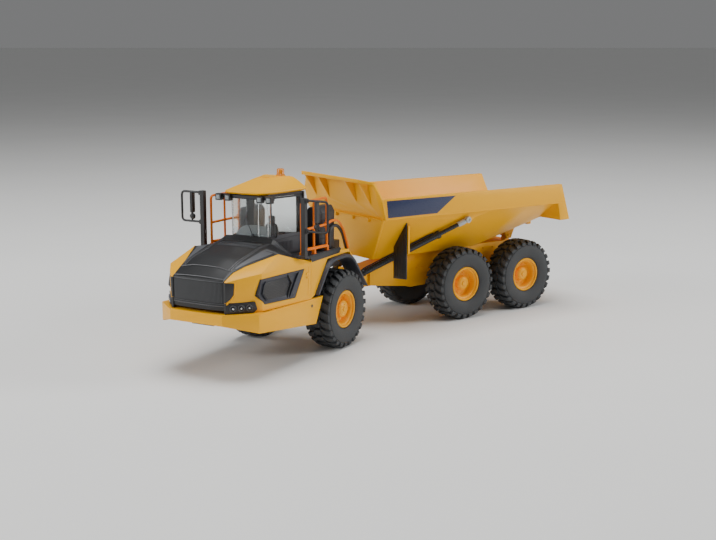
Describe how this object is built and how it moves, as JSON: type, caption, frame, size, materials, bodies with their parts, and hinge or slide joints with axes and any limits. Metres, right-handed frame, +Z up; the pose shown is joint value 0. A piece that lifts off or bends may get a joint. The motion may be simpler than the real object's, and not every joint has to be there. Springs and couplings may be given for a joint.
{
  "type": "toy articulated dump truck",
  "caption": "Six-wheeled articulated dump truck toy with a steering and rolling frame hitch, tipping body on two lift cylinders, opening bonnet and cab door",
  "frame": {"origin": "centre of the bounding box on the floor under the tyres, with the front unit steered 23.7 degrees to its left", "axes": "+X forward along the rear unit's centre line, +Y to its left, +Z up"},
  "size_m": [0.7672, 0.3034, 0.2691],
  "materials": {
    "yellow": "satin moulded yellow plastic",
    "orange": "satin moulded orange plastic",
    "black": "satin moulded black plastic",
    "dark_grey": "satin moulded dark grey plastic",
    "grey": "moulded light grey plastic",
    "tyre": "soft moulded dark grey tyre",
    "rim": "satin moulded yellow plastic",
    "glass": "clear moulded plastic",
    "amber": "clear amber plastic",
    "rod": "smooth dark plastic"
  },
  "bodies": {
    "rear_unit": {"rear_frame": "yellow", "middle_axle": "black", "rear_axle": "black"},
    "hitch": {"hitch_yoke": "black"},
    "front_unit": {"front_frame": "black", "front_axle": "black", "engine_block": "dark_grey", "bumper": "yellow", "windscreen_cowl": "grey", "rear_deck": "black", "cab_shell": "black", "cab_glazing": "glass", "cab_roof": "yellow", "driver_seat": "dark_grey", "dashboard": "dark_grey", "work_lamp_bar": "black", "beacon": "amber", "air_cleaner": "black", "exhaust": "black", "left_side_panel": "yellow", "left_air_intake": "dark_grey", "left_headlamp": "black", "left_fender": "yellow", "left_arch_trim": "dark_grey", "left_platform": "black", "left_handrail": "orange", "left_mirror": "black", "right_side_panel": "yellow", "right_air_intake": "dark_grey", "right_headlamp": "black", "right_fender": "yellow", "right_arch_trim": "dark_grey", "right_platform": "black", "right_handrail": "orange", "right_mirror": "black"},
    "front_left_wheel": {"front_left_tyre": "tyre", "front_left_rim": "rim"},
    "front_right_wheel": {"front_right_tyre": "tyre", "front_right_rim": "rim"},
    "middle_left_wheel": {"middle_left_tyre": "tyre", "middle_left_rim": "rim"},
    "middle_right_wheel": {"middle_right_tyre": "tyre", "middle_right_rim": "rim"},
    "rear_left_wheel": {"rear_left_tyre": "tyre", "rear_left_rim": "rim"},
    "rear_right_wheel": {"rear_right_tyre": "tyre", "rear_right_rim": "rim"},
    "dump_body": {"dump_floor": "yellow", "dump_front_wall": "yellow", "dump_left_side": "yellow", "dump_right_side": "yellow", "left_mud_flap": "black", "right_mud_flap": "black"},
    "left_lift_cylinder": {"left_lift_barrel": "black"},
    "left_lift_piston": {"left_lift_rod": "rod"},
    "right_lift_cylinder": {"right_lift_barrel": "black"},
    "right_lift_piston": {"right_lift_rod": "rod"},
    "bonnet": {"bonnet": "black"},
    "cab_door": {"cab_door": "dark_grey", "door_window": "glass"}
  },
  "joints": [
    {"name": "frame_roll", "type": "hinge", "parent": "rear_unit", "child": "hitch", "pos_m": [0.05041, -0.04869, 0.07578], "axis": [1, 0, 0], "range_deg": [-10, 10]},
    {"name": "steering", "type": "hinge", "parent": "hitch", "child": "front_unit", "pos_m": [0.05041, -0.04869, 0.07578], "axis": [0, 0, 1], "range_deg": [-65.7, 18.3]},
    {"name": "front_left_wheel_spin", "type": "hinge", "parent": "front_unit", "child": "front_left_wheel", "pos_m": [0.10942, 0.05323, 0.05828], "axis": [-0.4019, 0.9157, 0], "continuous": true},
    {"name": "front_right_wheel_spin", "type": "hinge", "parent": "front_unit", "child": "front_right_wheel", "pos_m": [0.16537, -0.07423, 0.05828], "axis": [-0.4019, 0.9157, 0], "continuous": true},
    {"name": "middle_left_wheel_spin", "type": "hinge", "parent": "rear_unit", "child": "middle_left_wheel", "pos_m": [-0.16359, 0.02091, 0.05828], "axis": [0, 1, 0], "continuous": true},
    {"name": "middle_right_wheel_spin", "type": "hinge", "parent": "rear_unit", "child": "middle_right_wheel", "pos_m": [-0.16359, -0.11829, 0.05828], "axis": [0, 1, 0], "continuous": true},
    {"name": "rear_left_wheel_spin", "type": "hinge", "parent": "rear_unit", "child": "rear_left_wheel", "pos_m": [-0.29859, 0.02091, 0.05828], "axis": [0, 1, 0], "continuous": true},
    {"name": "rear_right_wheel_spin", "type": "hinge", "parent": "rear_unit", "child": "rear_right_wheel", "pos_m": [-0.29859, -0.11829, 0.05828], "axis": [0, 1, 0], "continuous": true},
    {"name": "tip", "type": "hinge", "parent": "rear_unit", "child": "dump_body", "pos_m": [-0.31159, -0.04869, 0.11778], "axis": [0, -1, 0], "range_deg": [0, 55]},
    {"name": "left_lift_swing", "type": "hinge", "parent": "rear_unit", "child": "left_lift_cylinder", "pos_m": [0.02241, -0.01919, 0.08198], "axis": [0.4645, 0.7941, 0.392], "range_deg": [0, 13.4]},
    {"name": "left_lift_extend", "type": "slide", "parent": "left_lift_cylinder", "child": "left_lift_piston", "axis": [-0.8634, 0.3077, 0.3998], "range_m": [0, 0.1335]},
    {"name": "right_lift_swing", "type": "hinge", "parent": "rear_unit", "child": "right_lift_cylinder", "pos_m": [0.02241, -0.07819, 0.08198], "axis": [-0.4645, 0.7941, -0.392], "range_deg": [0, 13.4]},
    {"name": "right_lift_extend", "type": "slide", "parent": "right_lift_cylinder", "child": "right_lift_piston", "axis": [-0.8634, -0.3077, 0.3998], "range_m": [0, 0.1335]},
    {"name": "bonnet_hinge", "type": "hinge", "parent": "front_unit", "child": "bonnet", "pos_m": [0.36082, 0.08757, 0.09778], "axis": [-0.4019, 0.9157, 0], "range_deg": [0, 60]},
    {"name": "cab_door_hinge", "type": "hinge", "parent": "front_unit", "child": "cab_door", "pos_m": [0.17177, 0.05738, 0.15178], "axis": [0, 0, 1], "range_deg": [0, 42]}
  ],
  "couplings": [
    {"joint": "left_lift_swing", "follows": "tip", "ratio": 0.24315},
    {"joint": "left_lift_extend", "follows": "tip", "m_per_rad": 0.13872},
    {"joint": "right_lift_swing", "follows": "tip", "ratio": 0.24315},
    {"joint": "right_lift_extend", "follows": "tip", "m_per_rad": 0.13872}
  ]
}
